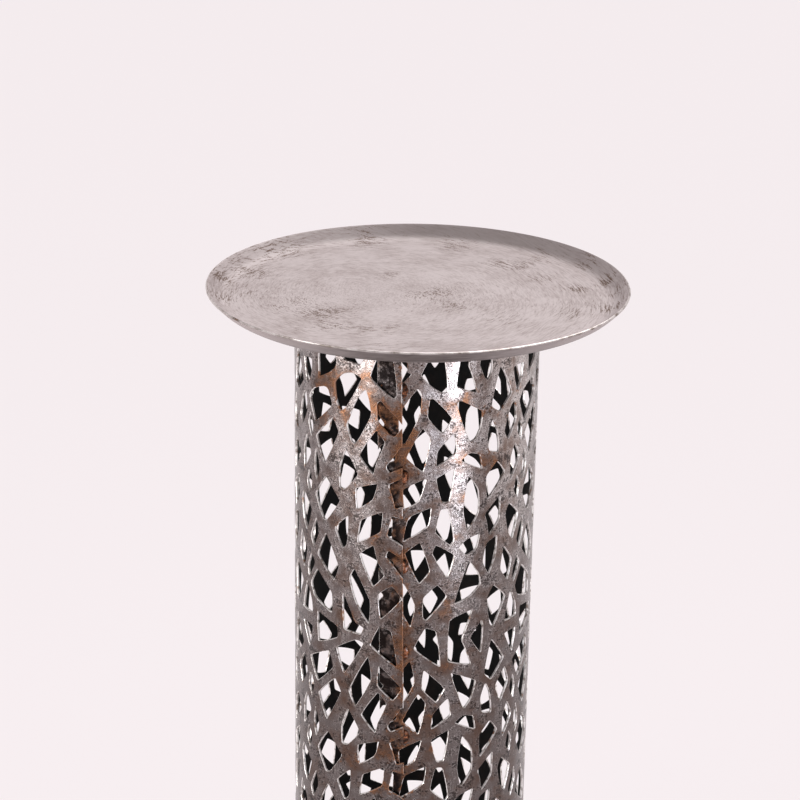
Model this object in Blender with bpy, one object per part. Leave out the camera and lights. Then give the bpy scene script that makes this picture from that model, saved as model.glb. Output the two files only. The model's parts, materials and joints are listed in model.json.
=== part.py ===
"""Candle stand: a shallow spun-steel dish tacked on a rolled openwork column.

Metres, +Z up, standing on Z = 0 with its axis on the Z axis. The column's lap
seam faces the front, -Y. The column is one steel sheet: its web of holes is cut
while the sheet is flat, then the sheet is rolled until its ends overlap. Brazed
beads hold the seam and join the column to the dish and to the foot.
"""

import math
from typing import Callable

import bmesh
import bpy
from mathutils import Matrix, Vector
from mathutils.geometry import delaunay_2d_cdt

Point = tuple[float, float]
Outline = tuple[Point, ...]

# Driving dimensions, in metres and radians.
MM = 0.001
FIT_GAP = 0.0003

DISH_RADIUS = 0.120
DISH_DEPTH = 0.008
DISH_THICKNESS = 0.0015
DISH_BEND_RADIUS = 0.008
DISH_FLARE = math.radians(45.0)

FOOT_RADIUS = 0.120
FOOT_DEPTH = 0.008
FOOT_THICKNESS = 0.0015
FOOT_BEND_RADIUS = 0.008
FOOT_FLARE = math.radians(45.0)

COLUMN_RADIUS = 0.0699
COLUMN_LENGTH = 0.430
SHEET_THICKNESS = 0.0015
LAP_WIDTH = 0.014
LAP_GAP = 0.0005
LAP_RUN_UP = 0.022
SEAM_OFFSET = -0.0080
SEAM_LEAN = math.radians(1.0)

PATTERN_ACROSS = 0.150
PATTERN_HEIGHT = 0.1625
PATTERN_RISE = 0.0098
LEFT_GROUP_SHIFT = 0.139
LEFT_LOWER_DRIFT = 0.0026
LEFT_LOWER_RISE = 0.0024

BEAD_LENGTH = 0.012
BEAD_LEG = 0.004
END_TACKS = 6
FIRST_TACK_ANGLE = math.radians(-17.0)
SEAM_TACKS = 8
SEAM_BEAD_LENGTH = 0.009
SEAM_BEAD_LEG = 0.0032
TACK_SEARCH_STEP = 0.0005

# Where a bead is tested for metal under it, as shares of its length and of its leg.
LENGTH_PROBES = (-0.5, -0.25, 0.0, 0.25, 0.5)
LEG_PROBES = (0.2, 0.6)

PAD_COUNT = 4
PAD_RADIUS = 0.009
PAD_PROUD = 0.001
PAD_INSET = 0.004

# The web is drawn on a grid of half millimetres, this many to one repeat.
STEPS_ACROSS = 300
STEPS_DOWN = 325
STEPS_PER_MM = 2

# How the flat sheet is cut: every region is triangulated, to a tolerance in millimetres.
TRIANGULATE_ALL = 0
CUT_TOLERANCE_MM = 1e-4

# How a mesh is shaded and cut: edges sharper than this show, and a plane cut
# takes corners this near to it as lying on it.
SHARP_EDGE = math.radians(35.0)
ON_PLANE = 1e-7

# Facets on round shapes.
ROUND_SEGMENTS = 64
BEND_SEGMENTS = 3
PAD_SEGMENTS = 20
BEAD_SEGMENTS = 8

# Heights that follow from the sizes above.
FOOT_RIM_Z = PAD_PROUD
FOOT_FLAT_UNDERSIDE_Z = FOOT_RIM_Z + FOOT_DEPTH
FOOT_TOP_Z = FOOT_FLAT_UNDERSIDE_Z + FOOT_THICKNESS
COLUMN_BOTTOM_Z = FOOT_TOP_Z + FIT_GAP
COLUMN_TOP_Z = COLUMN_BOTTOM_Z + COLUMN_LENGTH
DISH_UNDERSIDE_Z = COLUMN_TOP_Z + FIT_GAP

CIRCUMFERENCE = 2.0 * math.pi * COLUMN_RADIUS
LAP_STEP = SHEET_THICKNESS + LAP_GAP
INNER_END = SEAM_OFFSET - LAP_WIDTH
OUTER_END = SEAM_OFFSET + CIRCUMFERENCE

# One drawn millimetre of the web, which stretches with the size of the repeat.
WEB_ACROSS = PATTERN_ACROSS * STEPS_PER_MM / STEPS_ACROSS
WEB_DOWN = PATTERN_HEIGHT * STEPS_PER_MM / STEPS_DOWN

# The web's holes, as corners chosen by hand, in millimetres on the outside of
# the sheet: along it from the front line towards +X, and down it. The holes of
# the top strip are measured down from the column's top edge.
TOP_RIGHT_MM: tuple[Outline, ...] = (
    ((-9.5, 13), (-5, 13.5), (-5, 19.5), (-2.5, 20), (-6, 24.5), (-9.5, 27)),
    ((1, 28.5), (3, 31.5), (3, 40), (1.5, 46), (-6, 61.5), (-8.5, 61), (-9.5, 44)),
    ((8, 10), (15, 10), (17.5, 31.5), (14.5, 31.5), (8, 27.5), (2.5, 21)),
    ((7.5, 35), (9.5, 34.5), (16, 41), (20.5, 47), (15.5, 55), (13, 53.5), (6.5, 45.5)),
    ((26, 6), (35.5, 3), (29, 16), (35, 33.5), (32, 32.5), (22.5, 28.5)),
    ((23, 38.5), (24.5, 36.5), (31, 40), (39, 45), (38, 54), (34.5, 60.5), (31, 62)),
    ((38.5, 10.5), (43.5, 9.5), (44.5, 22), (42, 27), (40, 26), (36, 17)),
    ((46, 51), (49.5, 57.5), (51, 71.5), (44, 69.5), (42.5, 59.5)),
    ((50.5, 21.5), (52, 22), (60.5, 38.5), (51, 47.5), (45, 43.5), (45.5, 39)),
    ((61.5, 24), (70.5, 23.5), (70, 32), (66, 39), (64.5, 38)),
    ((59, 48.5), (61.5, 45), (64, 45), (65.5, 55), (60.5, 63), (58.5, 66), (55, 60.5)),
    ((69, 55), (72, 62.5), (70.5, 70), (66.5, 62)),
)
TOP_LEFT_MM: tuple[Outline, ...] = (
    ((-71, 45.5), (-67, 40), (-57, 36), (-54, 36.5), (-50.5, 45.5), (-64, 58.5), (-65.5, 58.5)),
    ((-62, 11), (-51, 13.5), (-47.5, 17), (-48, 22.5), (-53, 27), (-61.5, 31.5)),
    ((-43, -6), (-34, 10), (-28, 12.5), (-31, 17.5), (-42.5, 17)),
    ((-49, 31.5), (-43.5, 25.5), (-36, 23), (-30, 25), (-41.5, 45.5), (-44.5, 47), (-47.5, 42)),
    ((-27.5, 31), (-25.5, 36), (-24, 45.5), (-34, 64.5), (-36.5, 63.5), (-40, 54.5), (-37, 46), (-32, 36)),
    ((-20.5, 11), (-12.5, 11), (-10, 32.5), (-11.5, 34.5), (-18, 30), (-25, 23.5)),
    ((-21, 38.5), (-19, 36), (-9.5, 45.5), (-6, 50.5), (-11, 56.5), (-13.5, 55.5), (-20.5, 48.5)),
)

# One repeat of the web below the top strip, measured down from the pattern's
# zero line. The right lists run right from the seam, the left lists run left
# from it, one turn further along the sheet (LEFT_GROUP_SHIFT). Below the first
# repeat the left holes stand a little further on and higher.
RIGHT_OF_SEAM_MM: tuple[Outline, ...] = (
    ((4, 61.5), (8.5, 67.5), (4.5, 87.5), (-5, 79.5)),
    ((6.5, 91), (2.5, 105), (-5.5, 110), (-6.5, 98)),
    ((9.5, 108.5), (8, 120), (-6, 129.5), (-3, 114.5)),
    ((3.5, 129.5), (9.5, 147.5), (3.5, 155), (-5, 136.5)),
    ((-5.5, 154.5), (1.5, 168), (-1, 182), (-7.5, 170)),
    ((-1, 203), (2, 216.5), (-4.5, 230), (-7, 212)),
    ((21.5, 65.5), (23.5, 76.5), (12, 84.5), (12.5, 75)),
    ((22.5, 86), (19.5, 106), (15.5, 106), (12, 91.5)),
    ((15, 110), (19, 110), (23, 129.5), (21, 132.5), (12, 124)),
    ((12.5, 131.5), (23.5, 138.5), (19.5, 152), (10.5, 136.5)),
    ((14, 156), (19.5, 163.5), (7.5, 178), (6, 176), (6, 163.5)),
    ((7.5, 182.5), (13.5, 184.5), (16.5, 207.5), (1, 195.5)),
    ((7, 209), (19.5, 221.5), (14.5, 230), (6, 221)),
    ((31.5, 78), (38, 80), (39.5, 89), (26, 82)),
    ((31, 91.5), (37.5, 101), (38, 115), (31, 125), (28, 112)),
    ((30.5, 130), (39, 128), (37, 137), (31, 140), (26, 134.5)),
    ((32.5, 143.5), (39.5, 153), (40.5, 159.5), (33.5, 166), (24, 169)),
    ((21.5, 178.5), (35.5, 174), (29, 192), (35.5, 209), (21, 204.5)),
    ((23, 212), (39, 220), (36.5, 230.5), (31.5, 236.5), (28.5, 229)),
    ((42, 182), (43, 186), (42, 203), (34.5, 192)),
    ((46, 223.5), (49.5, 230), (51, 244), (44, 242), (42.5, 232)),
    ((50, 86.5), (56.5, 94.5), (43.5, 108.5), (42.5, 94)),
    ((53, 108), (53, 122.5), (45.5, 131), (44, 122), (42, 117)),
    ((51.5, 132), (51, 144), (46, 154.5), (41.5, 146), (44, 135)),
    ((50, 162.5), (60, 172), (50.5, 189), (48, 186.5), (45.5, 169)),
    ((49.5, 196.5), (60.5, 211.5), (50, 222.5), (45, 217.5)),
    ((65, 79.5), (70, 89), (61.5, 101.5), (61, 87.5)),
    ((61, 115), (70.5, 123.5), (65, 138.5), (61, 133.5), (58, 120)),
    ((57.5, 140.5), (65, 150.5), (61.5, 163), (55, 154)),
    ((65, 170), (71, 181), (71.5, 188.5), (60, 188.5)),
    ((60.5, 196.5), (71.5, 196.5), (68.5, 211)),
    ((61.5, 218), (65.5, 228), (58.5, 239.5), (53.5, 228)),
    ((75, 84.5), (78.5, 96), (75.5, 104.5), (73, 95)),
    ((67.5, 100), (71, 106), (69, 114.5), (65, 108.5)),
    ((75.5, 127), (77.5, 136), (72.5, 146), (69.5, 140)),
    ((70.5, 150.5), (74, 155.5), (67.5, 166.5), (66, 160)),
    ((70, 226), (73, 234.5), (71, 242.5), (67, 234)),
)
LEFT_OF_SEAM_MM: tuple[Outline, ...] = (
    ((-50, 62.5), (-45.5, 70), (-56.5, 91.5), (-64, 77)),
    ((-40.5, 79), (-32, 92), (-41, 103), (-44.5, 103), (-45, 91)),
    ((-55.5, 99), (-44.5, 111), (-54.5, 125.5), (-57, 126), (-64.5, 112.5)),
    ((-38.5, 118.5), (-39.5, 136.5), (-42.5, 139.5), (-48, 128)),
    ((-20, 95), (-22.5, 105), (-32.5, 113), (-33.5, 100.5)),
    ((-30, 119), (-17, 111.5), (-18, 124), (-32, 133)),
    ((-22, 132.5), (-20, 141), (-15.5, 150), (-22, 158), (-30.5, 139.5)),
    ((-55, 133.5), (-45, 151.5), (-48.5, 161), (-62.5, 149)),
    ((-62.5, 158.5), (-50, 169.5), (-50, 182), (-66, 176.5), (-69.5, 169.5)),
    ((-42, 166.5), (-33.5, 183), (-27.5, 185), (-29.5, 189.5), (-41, 189.5)),
    ((-34, 149.5), (-23.5, 167.5), (-24.5, 181.5), (-33.5, 169.5), (-37.5, 156)),
    ((-62.5, 185), (-46, 189), (-45.5, 196), (-61.5, 204)),
    ((-52, 206.5), (-49, 216.5), (-62.5, 230), (-70, 216.5)),
    ((-32.5, 193.5), (-27.5, 194.5), (-41, 217.5), (-46.5, 202.5)),
    ((-24.5, 202), (-22.5, 216.5), (-33, 236.5), (-37.5, 227.5)),
    ((-21, 63.5), (-16, 70), (-21, 83), (-22.5, 90), (-31.5, 80.5)),
    ((-7.5, 72), (0, 74), (0, 81), (-13.5, 88), (-15.5, 84.5)),
    ((-4, 88.5), (-1, 106), (-10, 109), (-14, 95)),
    ((-12, 113.5), (-1, 116), (-1, 134), (-14.5, 126)),
    ((-13.5, 134.5), (0, 142), (-2, 155.5), (-15, 138.5)),
    ((-11.5, 156), (-5.5, 163.5), (-17.5, 177.5), (-19, 162)),
    ((-18, 182), (-11.5, 184), (-8, 206.5), (-23.5, 194.5)),
    ((-18, 206.5), (-5, 220), (-10, 228), (-19, 219.5)),
)


def clear_scene() -> None:
    """Remove every object that the file opened with."""
    for item in list(bpy.data.objects):
        bpy.data.objects.remove(item, do_unlink=True)


def make_material(
    name: str, colour: tuple[float, float, float], roughness: float, metallic: float
) -> bpy.types.Material:
    """Return a plain Principled material."""
    material = bpy.data.materials.new(name)
    material.use_nodes = True
    shader = material.node_tree.nodes["Principled BSDF"]
    shader.inputs["Base Color"].default_value = (*colour, 1.0)
    shader.inputs["Roughness"].default_value = roughness
    shader.inputs["Metallic"].default_value = metallic
    return material


def add_object(
    name: str, mesh: bpy.types.Mesh, material: bpy.types.Material, parent: bpy.types.Object
) -> bpy.types.Object:
    """Link a mesh to the scene as one named sub-part."""
    item = bpy.data.objects.new(name, mesh)
    if not mesh.materials:
        mesh.materials.append(material)
    item.parent = parent
    bpy.context.scene.collection.objects.link(item)
    return item


def mesh_from_bmesh(name: str, shape: bmesh.types.BMesh) -> bpy.types.Mesh:
    """Turn a finished bmesh into a smooth-shaded mesh and free it."""
    bmesh.ops.recalc_face_normals(shape, faces=shape.faces)
    mesh = bpy.data.meshes.new(name)
    shape.to_mesh(mesh)
    shape.free()
    mesh.shade_smooth()
    mesh.set_sharp_from_angle(angle=SHARP_EDGE)
    return mesh


# Spun dishes


def spun_profile(
    radius: float, depth: float, thickness: float, bend_radius: float, flare: float
) -> list[Point]:
    """Return a dish's half section (radius, height), floor underside at height 0."""
    half = thickness / 2.0
    bend_top = bend_radius - half
    bend_bottom = bend_radius + half
    slant = (half + depth - bend_radius + bend_top * math.cos(flare)) / math.sin(flare)
    floor_radius = radius - bend_bottom * math.sin(flare) - slant * math.cos(flare)
    centre_z = half + bend_radius

    def skin(bend: float) -> list[Point]:
        points = []
        for step in range(BEND_SEGMENTS + 1):
            turn = flare * step / BEND_SEGMENTS
            points.append((floor_radius + bend * math.sin(turn), centre_z - bend * math.cos(turn)))
        end_r, end_z = points[-1]
        points.append((end_r + slant * math.cos(flare), end_z + slant * math.sin(flare)))
        return points

    top = skin(bend_top)
    bottom = skin(bend_bottom)
    return top + bottom[::-1]


def flat_radius(radius: float, depth: float, thickness: float, bend_radius: float, flare: float) -> float:
    """Return how far a dish's flat floor reaches."""
    return spun_profile(radius, depth, thickness, bend_radius, flare)[0][0]


def spin_dish(name: str, profile: list[Point]) -> bpy.types.Mesh:
    """Turn a half section round the Z axis and close its two flat floors."""
    shape = bmesh.new()
    verts = [shape.verts.new((radius, 0.0, height)) for radius, height in profile]
    edges = [shape.edges.new(pair) for pair in zip(verts, verts[1:])]
    bmesh.ops.spin(
        shape,
        geom=[*verts, *edges],
        cent=(0.0, 0.0, 0.0),
        axis=(0.0, 0.0, 1.0),
        angle=2.0 * math.pi,
        steps=ROUND_SEGMENTS,
        use_merge=True,
    )
    open_edges = [edge for edge in shape.edges if edge.is_boundary]
    bmesh.ops.edgeloop_fill(shape, edges=open_edges)
    return mesh_from_bmesh(name, shape)


# Openwork sheet


def lean_at(down: float) -> float:
    """Return how far the seam has moved along the sheet at a depth below the column's top."""
    return math.tan(SEAM_LEAN) * down


def sheet_outline() -> list[Point]:
    """Return the flat sheet's outline, as (along from the front, down from the top).

    Its top and bottom edges go in steps, so that they roll up round where no hole is near.
    """
    width = OUTER_END - INNER_END
    steps = math.ceil(ROUND_SEGMENTS * width / CIRCUMFERENCE)
    top = [(INNER_END + width * step / steps, 0.0) for step in range(steps + 1)]
    lean = lean_at(COLUMN_LENGTH)
    bottom = [(along + lean, COLUMN_LENGTH) for along, _ in reversed(top)]
    return top + bottom


def touches_sheet(hole: list[Point]) -> bool:
    """Tell whether any corner of a hole lies on the sheet."""
    return any(
        0.0 < down < COLUMN_LENGTH and INNER_END < along - lean_at(down) < OUTER_END
        for along, down in hole
    )


def placed(group: tuple[Outline, ...], along: float, down: float) -> list[list[Point]]:
    """Return a group of drawn holes, shifted to its place on the sheet."""
    return [[(along + x * WEB_ACROSS, down + y * WEB_DOWN) for x, y in hole] for hole in group]


def sheet_holes() -> list[list[Point]]:
    """Repeat the web's holes over the whole sheet."""
    first_column = math.floor(INNER_END / PATTERN_ACROSS)
    last_column = math.ceil((OUTER_END + lean_at(COLUMN_LENGTH)) / PATTERN_ACROSS)
    rows = math.ceil((COLUMN_LENGTH + PATTERN_RISE) / PATTERN_HEIGHT)
    holes = []
    for column in range(first_column, last_column + 1):
        right = column * PATTERN_ACROSS
        left = right + LEFT_GROUP_SHIFT
        holes += placed(TOP_RIGHT_MM, right, 0.0)
        holes += placed(TOP_LEFT_MM, left, 0.0)
        for row in range(rows):
            down = row * PATTERN_HEIGHT - PATTERN_RISE
            holes += placed(RIGHT_OF_SEAM_MM, right, down)
            if row == 0:
                holes += placed(LEFT_OF_SEAM_MM, left, down)
            else:
                holes += placed(LEFT_OF_SEAM_MM, left + LEFT_LOWER_DRIFT, down - LEFT_LOWER_RISE)
    return [hole for hole in holes if touches_sheet(hole)]


def is_inside(point: Point, outline: list[Point]) -> bool:
    """Tell whether a point lies inside an outline."""
    x, y = point
    inside = False
    for (x1, y1), (x2, y2) in zip(outline, outline[1:] + outline[:1]):
        if (y1 > y) != (y2 > y) and x < x1 + (x2 - x1) * (y - y1) / (y2 - y1):
            inside = not inside
    return inside


def outer_skin_radius(along: float, down: float) -> float:
    """Return the sheet's outer radius, which steps up where it runs over its hidden end."""
    lap_start = INNER_END + CIRCUMFERENCE
    run = (along - lean_at(down) - lap_start) / LAP_RUN_UP + 1.0
    blend = min(max(run, 0.0), 1.0)
    return COLUMN_RADIUS + LAP_STEP * blend * blend * (3.0 - 2.0 * blend)


def rolled(along: float, down: float, depth: float) -> Vector:
    """Place a point of the flat sheet on the rolled column, at a depth below its outer skin."""
    turn = along / COLUMN_RADIUS
    radius = outer_skin_radius(along, down) - depth
    return Vector((radius * math.sin(turn), -radius * math.cos(turn), COLUMN_TOP_Z - down))


def drop_offcuts(shape: bmesh.types.BMesh) -> None:
    """Keep the largest connected piece, as scraps fall away when the sheet's edges are cut."""
    unseen = set(shape.faces)
    pieces = []
    while unseen:
        stack = [unseen.pop()]
        piece = list(stack)
        while stack:
            for edge in stack.pop().edges:
                for face in edge.link_faces:
                    if face in unseen:
                        unseen.remove(face)
                        stack.append(face)
                        piece.append(face)
        pieces.append(piece)
    pieces.sort(key=len)
    scraps = [face for piece in pieces[:-1] for face in piece]
    bmesh.ops.delete(shape, geom=scraps, context="FACES")


def build_column(holes: list[list[Point]]) -> bpy.types.Mesh:
    """Cut the web out of the flat sheet, give it its thickness and roll it."""
    outlines = [sheet_outline(), *holes]
    points = [Vector((along / MM, down / MM)) for outline in outlines for along, down in outline]
    loops = []
    start = 0
    for outline in outlines:
        loops.append(list(range(start, start + len(outline))))
        start += len(outline)
    cut = delaunay_2d_cdt(points, [], loops, TRIANGULATE_ALL, CUT_TOLERANCE_MM)
    flat_points, triangles, owners = cut[0], cut[2], cut[5]
    shape = bmesh.new()
    verts = [shape.verts.new((x * MM, y * MM, 0.0)) for x, y in flat_points]
    for triangle, owner in zip(triangles, owners):
        is_sheet_only = list(owner) == [0]
        if is_sheet_only:
            shape.faces.new([verts[index] for index in triangle])
    loose = [vert for vert in shape.verts if not vert.link_faces]
    bmesh.ops.delete(shape, geom=loose, context="VERTS")
    drop_offcuts(shape)
    made = bmesh.ops.extrude_face_region(shape, geom=list(shape.faces), use_keep_orig=True)
    for item in made["geom"]:
        if isinstance(item, bmesh.types.BMVert):
            item.co.z = SHEET_THICKNESS
    for vert in shape.verts:
        vert.co = rolled(*vert.co)
    return mesh_from_bmesh("openwork_column", shape)


# Brazed beads


def fillet_bead(name: str, length: float, leg_out: float, leg_up: float) -> bpy.types.Mesh:
    """Return a quarter-round bead along X, flat on its back (Y = 0) and its foot (Z = 0)."""
    shape = bmesh.new()
    bmesh.ops.create_uvsphere(shape, u_segments=BEAD_SEGMENTS, v_segments=BEAD_SEGMENTS // 2, radius=1.0)
    quarter_turn = math.radians(90.0)
    bmesh.ops.rotate(shape, verts=shape.verts, matrix=Matrix.Rotation(quarter_turn, 3, "Y"))
    bmesh.ops.scale(shape, verts=shape.verts, vec=(length / 2.0, leg_out, leg_up))
    for normal in ((0.0, -1.0, 0.0), (0.0, 0.0, -1.0)):
        geometry = [*shape.verts, *shape.edges, *shape.faces]
        cut = bmesh.ops.bisect_plane(
            shape, geom=geometry, plane_co=(0, 0, 0), plane_no=normal, clear_outer=True, dist=ON_PLANE
        )
        rim = [item for item in cut["geom_cut"] if isinstance(item, bmesh.types.BMEdge)]
        bmesh.ops.contextual_create(shape, geom=rim)
    return mesh_from_bmesh(name, shape)


def place_bead(item: bpy.types.Object, origin: Vector, along: Vector, out: Vector) -> None:
    """Stand a bead at a corner: X along the joint, Y away from its back, Z away from its foot."""
    up = along.cross(out)
    turned = Matrix((along, out, up)).transposed()
    item.matrix_world = Matrix.Translation(origin) @ turned.to_4x4()


def on_sheet(along: float, down: float) -> Point:
    """Return the same place on the outer turn, for a place seen from outside."""
    seam = SEAM_OFFSET + lean_at(down)
    if along < seam:
        return along + CIRCUMFERENCE, down
    return along, down


def is_metal(holes: list[list[Point]], places: list[Point]) -> bool:
    """Tell whether the sheet has metal at every one of some places."""
    return not any(is_inside(place, hole) for place in places for hole in holes)


def nearest_metal(wanted: float, test: Callable[[float], bool], reach: float) -> float:
    """Return the place nearest to the wanted one where a bead has metal under it."""
    steps = int(reach / TACK_SEARCH_STEP)
    for step in range(steps):
        for side in (1.0, -1.0):
            place = wanted + side * step * TACK_SEARCH_STEP
            if test(place):
                return place
    return wanted


def add_end_tacks(
    prefix: str,
    at_top: bool,
    holes: list[list[Point]],
    braze: bpy.types.Material,
    parent: bpy.types.Object,
) -> None:
    """Add a ring of beads where one end of the column meets a dish."""
    bead = fillet_bead(prefix, BEAD_LENGTH, BEAD_LEG, BEAD_LEG)
    end = 0.0 if at_top else COLUMN_LENGTH
    inward = 1.0 if at_top else -1.0

    def rests(along: float) -> bool:
        places = []
        for share in LENGTH_PROBES:
            for depth in LEG_PROBES:
                place = (along + share * BEAD_LENGTH, end + inward * depth * BEAD_LEG)
                places.append(on_sheet(*place))
        return is_metal(holes, places)

    spacing = CIRCUMFERENCE / END_TACKS
    for index in range(END_TACKS):
        wanted = FIRST_TACK_ANGLE * COLUMN_RADIUS + index * spacing
        if wanted > CIRCUMFERENCE / 2.0:
            wanted -= CIRCUMFERENCE
        along = nearest_metal(wanted, rests, spacing / 2.0)
        turn = along / COLUMN_RADIUS
        out = Vector((math.sin(turn), -math.cos(turn), 0.0))
        tangent = Vector((math.cos(turn), math.sin(turn), 0.0)) * inward
        reached = [along + share * BEAD_LENGTH for share in LENGTH_PROBES]
        radius = max(outer_skin_radius(*on_sheet(place, end)) for place in reached) + FIT_GAP
        face_z = DISH_UNDERSIDE_Z - FIT_GAP if at_top else FOOT_TOP_Z + FIT_GAP
        item = add_object(f"{prefix}_{index + 1}", bead, braze, parent)
        place_bead(item, out * radius + Vector((0.0, 0.0, face_z)), tangent, out)


def add_seam_tacks(
    holes: list[list[Point]], braze: bpy.types.Material, parent: bpy.types.Object
) -> None:
    """Add beads down the lap seam, each in the corner that the free edge stands in."""
    bead = fillet_bead("seam_tack", SEAM_BEAD_LENGTH, SEAM_BEAD_LEG, LAP_STEP)

    def rests(down: float) -> bool:
        places = []
        for share in LENGTH_PROBES:
            depth = down + share * SEAM_BEAD_LENGTH
            seam = SEAM_OFFSET + lean_at(depth)
            for reach in LEG_PROBES:
                places.append((seam + reach * SEAM_BEAD_LEG, depth))
                places.append((seam + CIRCUMFERENCE - reach * SEAM_BEAD_LEG, depth))
        return is_metal(holes, places)

    spacing = COLUMN_LENGTH / SEAM_TACKS
    for index in range(SEAM_TACKS):
        down = nearest_metal((index + 0.5) * spacing, rests, spacing / 2.0)
        along = SEAM_OFFSET + lean_at(down)
        turn = (along + FIT_GAP) / COLUMN_RADIUS
        out = Vector((math.sin(turn), -math.cos(turn), 0.0))
        tangent = Vector((math.cos(turn), math.sin(turn), 0.0))
        downward = Vector((0.0, 0.0, -1.0))
        item = add_object(f"seam_tack_{index + 1}", bead, braze, parent)
        origin = out * (COLUMN_RADIUS + FIT_GAP) + Vector((0.0, 0.0, COLUMN_TOP_Z - down))
        place_bead(item, origin, downward, tangent)


# Floor pads


def add_pads(rubber: bpy.types.Material, parent: bpy.types.Object) -> None:
    """Add the rubber pads under the foot's flat, just proud of its rim."""
    flat = flat_radius(FOOT_RADIUS, FOOT_DEPTH, FOOT_THICKNESS, FOOT_BEND_RADIUS, FOOT_FLARE)
    height = FOOT_FLAT_UNDERSIDE_Z - FIT_GAP
    shape = bmesh.new()
    bmesh.ops.create_cone(
        shape,
        cap_ends=True,
        segments=PAD_SEGMENTS,
        radius1=PAD_RADIUS,
        radius2=PAD_RADIUS,
        depth=height,
        matrix=Matrix.Translation((0.0, 0.0, height / 2.0)),
    )
    pad = mesh_from_bmesh("floor_pad", shape)
    circle = flat - PAD_RADIUS - PAD_INSET
    for index in range(PAD_COUNT):
        turn = 2.0 * math.pi * (index + 0.5) / PAD_COUNT
        item = add_object(f"floor_pad_{index + 1}", pad, rubber, parent)
        item.location = (circle * math.cos(turn), circle * math.sin(turn), 0.0)


def main() -> None:
    """Build the stand."""
    clear_scene()
    dish_steel = make_material("brushed_silver_paint", (0.50, 0.47, 0.45), 0.45, 0.6)
    column_steel = make_material("antique_silver_patina", (0.32, 0.29, 0.28), 0.42, 0.85)
    braze = make_material("copper_braze", (0.38, 0.17, 0.08), 0.50, 0.80)
    rubber = make_material("black_rubber", (0.02, 0.02, 0.02), 0.80, 0.0)
    root = bpy.data.objects.new("candle_stand", None)
    bpy.context.scene.collection.objects.link(root)

    dish_profile = spun_profile(DISH_RADIUS, DISH_DEPTH, DISH_THICKNESS, DISH_BEND_RADIUS, DISH_FLARE)
    dish = add_object("candle_dish", spin_dish("candle_dish", dish_profile), dish_steel, root)
    dish.location.z = DISH_UNDERSIDE_Z
    foot_profile = spun_profile(FOOT_RADIUS, FOOT_DEPTH, FOOT_THICKNESS, FOOT_BEND_RADIUS, FOOT_FLARE)
    foot_down = [(radius, -height) for radius, height in foot_profile]
    foot = add_object("foot_dish", spin_dish("foot_dish", foot_down), dish_steel, root)
    foot.location.z = FOOT_TOP_Z

    holes = sheet_holes()
    add_object("openwork_column", build_column(holes), column_steel, root)
    add_end_tacks("dish_tack", True, holes, braze, root)
    add_end_tacks("foot_tack", False, holes, braze, root)
    add_seam_tacks(holes, braze, root)
    add_pads(rubber, root)


main()
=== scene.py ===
"""Looks of the floor candle stand: finishes, fine meshes, light and camera.

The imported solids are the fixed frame. Every visible piece here stands where its
solid is: the dish and the foot are turned finer, the openwork sheet gets the
rounded corners and broken edges of a real cut sheet, and the brazed beads get
their uneven form.
"""

from __future__ import annotations

import json
import logging
import math
import random
from abc import ABC, abstractmethod
from collections.abc import Callable
from dataclasses import dataclass
from enum import Enum
from functools import partial
from typing import Any, NamedTuple

import bmesh
import bpy
from mathutils import Matrix, Vector, noise
from mathutils.bvhtree import BVHTree
from mathutils.geometry import delaunay_2d_cdt
from mathutils.kdtree import KDTree

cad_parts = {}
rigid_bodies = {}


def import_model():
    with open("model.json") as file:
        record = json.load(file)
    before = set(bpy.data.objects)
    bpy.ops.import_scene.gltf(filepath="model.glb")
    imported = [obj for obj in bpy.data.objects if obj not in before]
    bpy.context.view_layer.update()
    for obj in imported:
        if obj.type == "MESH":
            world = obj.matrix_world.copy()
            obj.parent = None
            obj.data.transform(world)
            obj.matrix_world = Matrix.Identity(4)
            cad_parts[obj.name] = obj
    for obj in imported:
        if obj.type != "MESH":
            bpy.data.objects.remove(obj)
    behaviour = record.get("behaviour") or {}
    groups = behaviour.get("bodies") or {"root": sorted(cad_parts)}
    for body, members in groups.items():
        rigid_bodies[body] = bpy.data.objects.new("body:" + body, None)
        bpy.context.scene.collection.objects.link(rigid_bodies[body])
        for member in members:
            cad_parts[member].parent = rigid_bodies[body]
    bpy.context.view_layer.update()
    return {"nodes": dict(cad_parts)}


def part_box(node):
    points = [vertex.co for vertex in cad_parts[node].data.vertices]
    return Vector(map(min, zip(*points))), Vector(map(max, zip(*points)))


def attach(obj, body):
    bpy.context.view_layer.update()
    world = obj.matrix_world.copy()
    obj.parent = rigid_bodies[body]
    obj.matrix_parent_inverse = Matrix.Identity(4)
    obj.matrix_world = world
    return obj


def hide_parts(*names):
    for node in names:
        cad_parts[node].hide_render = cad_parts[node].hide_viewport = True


LOG = logging.getLogger("candle_stand")
BODY = "root"
MM = 0.001
WELD = 1e-6
RIGHT_ANGLE = math.radians(90.0)
SHARP_ANGLE = math.radians(32.0)

BMesh = bmesh.types.BMesh
Material = bpy.types.Material
Socket = bpy.types.NodeSocket
Add = Callable[..., Socket]
Spots = tuple[tuple[float, float, float, float], ...]


class Slot(Enum):
    """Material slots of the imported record."""

    SILVER_PAINT = "brushed_silver_paint"
    SILVER_PATINA = "antique_silver_patina"
    BRAZE = "copper_braze"
    RUBBER = "black_rubber"


# Small helpers


def linear(hex_colour: str) -> tuple[float, float, float, float]:
    """Turn an sRGB colour into the linear colour that a socket takes.

    Args:
        hex_colour: Six hex digits after a hash.

    Returns:
        Red, green, blue and alpha.
    """
    channels = []
    for start in (1, 3, 5):
        value = int(hex_colour[start : start + 2], 16) / 255.0
        channels.append(value / 12.92 if value <= 0.04045 else ((value + 0.055) / 1.055) ** 2.4)
    return (channels[0], channels[1], channels[2], 1.0)


def per_mm(size_mm: float) -> float:
    """Return the texture scale at which a pattern's features are this many millimetres wide."""
    return 1.0 / (size_mm * MM)


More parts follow.
